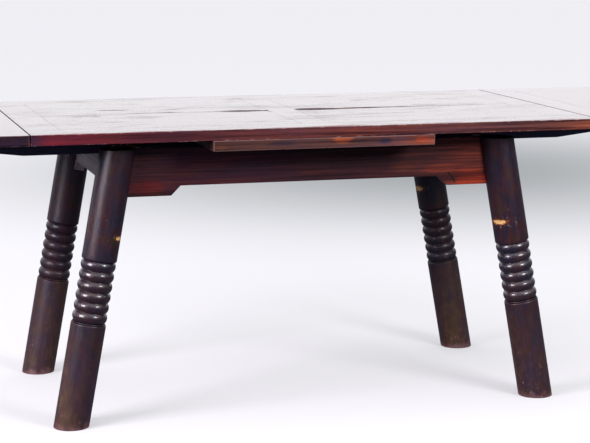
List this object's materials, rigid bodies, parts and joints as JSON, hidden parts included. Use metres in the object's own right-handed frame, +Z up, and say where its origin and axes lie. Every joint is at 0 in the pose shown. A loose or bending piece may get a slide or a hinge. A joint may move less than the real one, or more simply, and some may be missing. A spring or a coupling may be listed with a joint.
{
  "type": "draw-leaf dining table",
  "caption": "Draw-leaf dining table: framed panel top, end leaves drawn out on sliding lopers, shaped aprons, splayed round legs with turned ring beads.",
  "frame": {"origin": "on the floor, under the middle of the table", "axes": "+X along the table's length towards its right end, -Y towards the front that the picture shows, +Z up"},
  "size_m": [2.381, 0.85, 0.76],
  "materials": {
    "top_wood": "dark red-brown stain under gloss varnish, open grain, worn arrises",
    "leaf_wood": "dark purple-brown stain under gloss varnish, pale worn arrises",
    "centre_board_wood": "brown varnish, worn through to orange in patches",
    "apron_wood": "dark maroon stain under satin varnish",
    "leg_wood": "nearly black stain under gloss varnish, chipped to bare wood",
    "hidden_wood": "plain unvarnished softwood",
    "screw_brass": "dull brass"
  },
  "bodies": {
    "frame": {"leg_front_left": "leg_wood", "leg_front_right": "leg_wood", "leg_back_left": "leg_wood", "leg_back_right": "leg_wood", "apron_front": "apron_wood", "apron_back": "apron_wood", "end_rail_left": "apron_wood", "end_rail_right": "apron_wood", "corner_block_front_left": "hidden_wood", "corner_block_front_right": "hidden_wood", "corner_block_back_left": "hidden_wood", "corner_block_back_right": "hidden_wood", "cross_rail_left": "hidden_wood", "cross_rail_right": "hidden_wood", "centre_board": "centre_board_wood", "centre_board_screw_front_left": "screw_brass", "centre_board_screw_front_right": "screw_brass", "centre_board_screw_back_left": "screw_brass", "centre_board_screw_back_right": "screw_brass", "locating_dowel_front": "hidden_wood", "locating_dowel_back": "hidden_wood"},
    "main_top": {"top_rail_front": "top_wood", "top_rail_back": "top_wood", "top_end_left": "top_wood", "top_end_right": "top_wood", "top_stile_centre": "top_wood", "top_panel_left_front": "top_wood", "top_panel_left_back": "top_wood", "top_panel_right_front": "top_wood", "top_panel_right_back": "top_wood"},
    "left_leaf": {"left_leaf_end_inner": "leaf_wood", "left_leaf_end_outer": "leaf_wood", "left_leaf_rail_front": "leaf_wood", "left_leaf_panel_front": "leaf_wood", "left_leaf_loper_front": "apron_wood", "left_leaf_stop_front": "hidden_wood", "left_leaf_screw_inner_front": "screw_brass", "left_leaf_screw_outer_front": "screw_brass", "left_leaf_rail_back": "leaf_wood", "left_leaf_panel_back": "leaf_wood", "left_leaf_loper_back": "apron_wood", "left_leaf_stop_back": "hidden_wood", "left_leaf_screw_inner_back": "screw_brass", "left_leaf_screw_outer_back": "screw_brass"},
    "right_leaf": {"right_leaf_end_inner": "leaf_wood", "right_leaf_end_outer": "leaf_wood", "right_leaf_rail_front": "leaf_wood", "right_leaf_panel_front": "leaf_wood", "right_leaf_loper_front": "apron_wood", "right_leaf_stop_front": "hidden_wood", "right_leaf_screw_inner_front": "screw_brass", "right_leaf_screw_outer_front": "screw_brass", "right_leaf_rail_back": "leaf_wood", "right_leaf_panel_back": "leaf_wood", "right_leaf_loper_back": "apron_wood", "right_leaf_stop_back": "hidden_wood", "right_leaf_screw_inner_back": "screw_brass", "right_leaf_screw_outer_back": "screw_brass"}
  },
  "joints": [
    {"name": "main_top_lift", "type": "slide", "parent": "frame", "child": "main_top", "axis": [0, 0, 1], "range_m": [0, 0.06]},
    {"name": "left_leaf_slide", "type": "slide", "parent": "frame", "child": "left_leaf", "axis": [-1, 0, 0], "range_m": [0, 0.005]},
    {"name": "right_leaf_slide", "type": "slide", "parent": "frame", "child": "right_leaf", "axis": [1, 0, 0], "range_m": [0, 0.005]}
  ]
}
